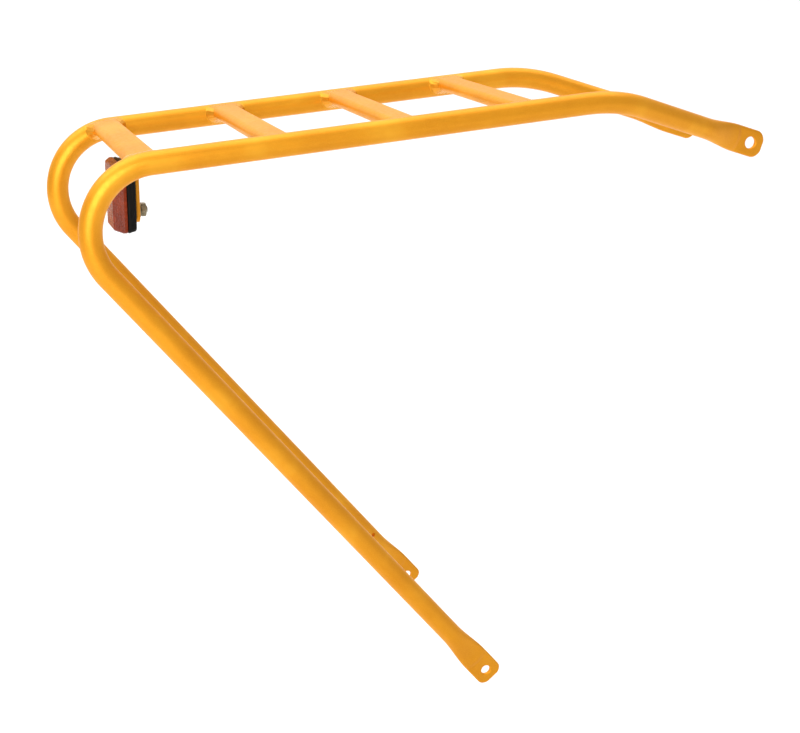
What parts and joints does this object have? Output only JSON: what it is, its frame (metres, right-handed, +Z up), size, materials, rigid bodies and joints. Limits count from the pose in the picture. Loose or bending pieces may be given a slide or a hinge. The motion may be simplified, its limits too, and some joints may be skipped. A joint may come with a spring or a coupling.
{
  "type": "bicycle rear rack",
  "caption": "Tubular bicycle rear rack: two bent side rails with pressed eyes, flat welded crossbars, and a red reflector that turns on its bolt under the rear bar.",
  "frame": {"origin": "midway between the centres of the two lower mounting eyes", "axes": "+X towards the front of the bicycle, +Y towards its left side, +Z up, square to the deck"},
  "size_m": [0.4701, 0.1698, 0.3933],
  "materials": {
    "painted_tube": "golden orange metallic powder coat over steel tube, semi-gloss",
    "painted_weld": "the same paint over a rippled weld bead",
    "black_plastic": "moulded black plastic, fine grain",
    "red_lens": "glossy red acrylic with fine moulded prisms",
    "zinc_steel": "zinc plated, slightly yellow passivation"
  },
  "bodies": {
    "rack": {"right_rail": "painted_tube", "left_rail": "painted_tube", "crossbar_1": "painted_tube", "crossbar_2": "painted_tube", "crossbar_3": "painted_tube", "crossbar_4": "painted_tube", "crossbar_1_weld_right": "painted_weld", "crossbar_1_weld_left": "painted_weld", "crossbar_2_weld_right": "painted_weld", "crossbar_2_weld_left": "painted_weld", "crossbar_3_weld_right": "painted_weld", "crossbar_3_weld_left": "painted_weld", "crossbar_4_weld_right": "painted_weld", "crossbar_4_weld_left": "painted_weld", "reflector_bracket": "painted_tube", "reflector_bracket_weld": "painted_weld"},
    "reflector": {"reflector_housing": "black_plastic", "reflector_lens": "red_lens", "reflector_stud": "zinc_steel", "reflector_washer": "zinc_steel", "reflector_nut": "zinc_steel"}
  },
  "joints": [
    {"name": "reflector_swivel", "type": "hinge", "parent": "rack", "child": "reflector", "pos_m": [-0.1832, 0, 0.336], "axis": [0.9962, 0, -0.0872], "continuous": true}
  ]
}
